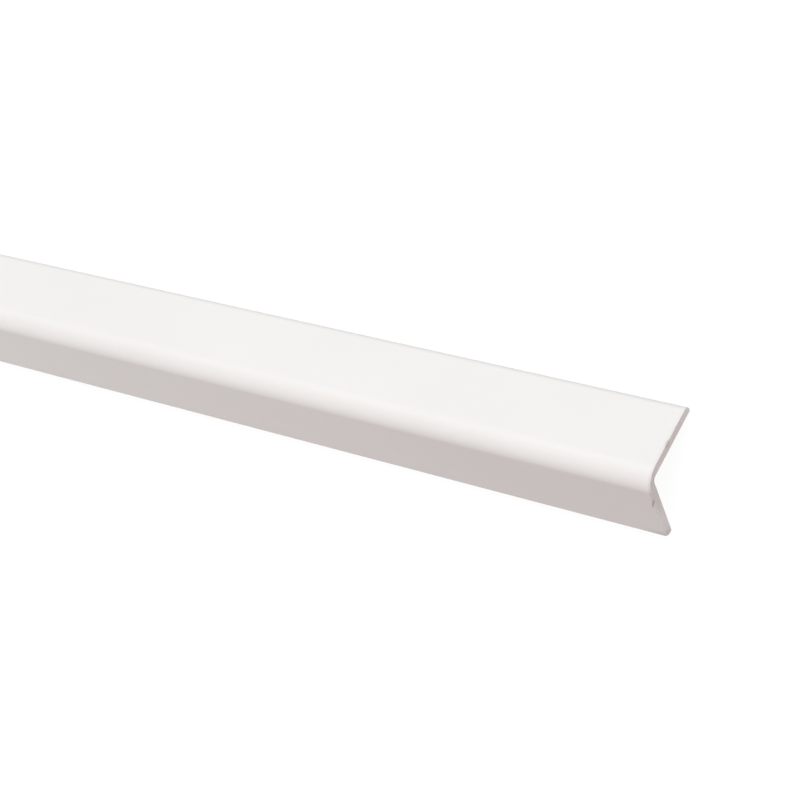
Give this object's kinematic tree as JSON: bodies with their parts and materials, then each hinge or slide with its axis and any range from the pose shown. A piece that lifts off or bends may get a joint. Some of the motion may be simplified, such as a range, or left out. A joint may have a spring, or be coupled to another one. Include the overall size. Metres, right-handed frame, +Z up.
{
  "type": "corner guard moulding",
  "caption": "Length of white vinyl angle trim with equal legs, a rounded nose and rolled free edges, fixed over the outside corner of a wall to protect it.",
  "frame": {"origin": "on the floor, under the middle of the length and midway between the two free edges", "axes": "+X along the length, +Z up through the nose, +Y across towards one of the two like legs"},
  "size_m": [1.2192, 0.0384, 0.0197],
  "materials": {
    "white_vinyl": "satin"
  },
  "bodies": {
    "root": {"corner_guard": "white_vinyl"}
  },
  "joints": []
}
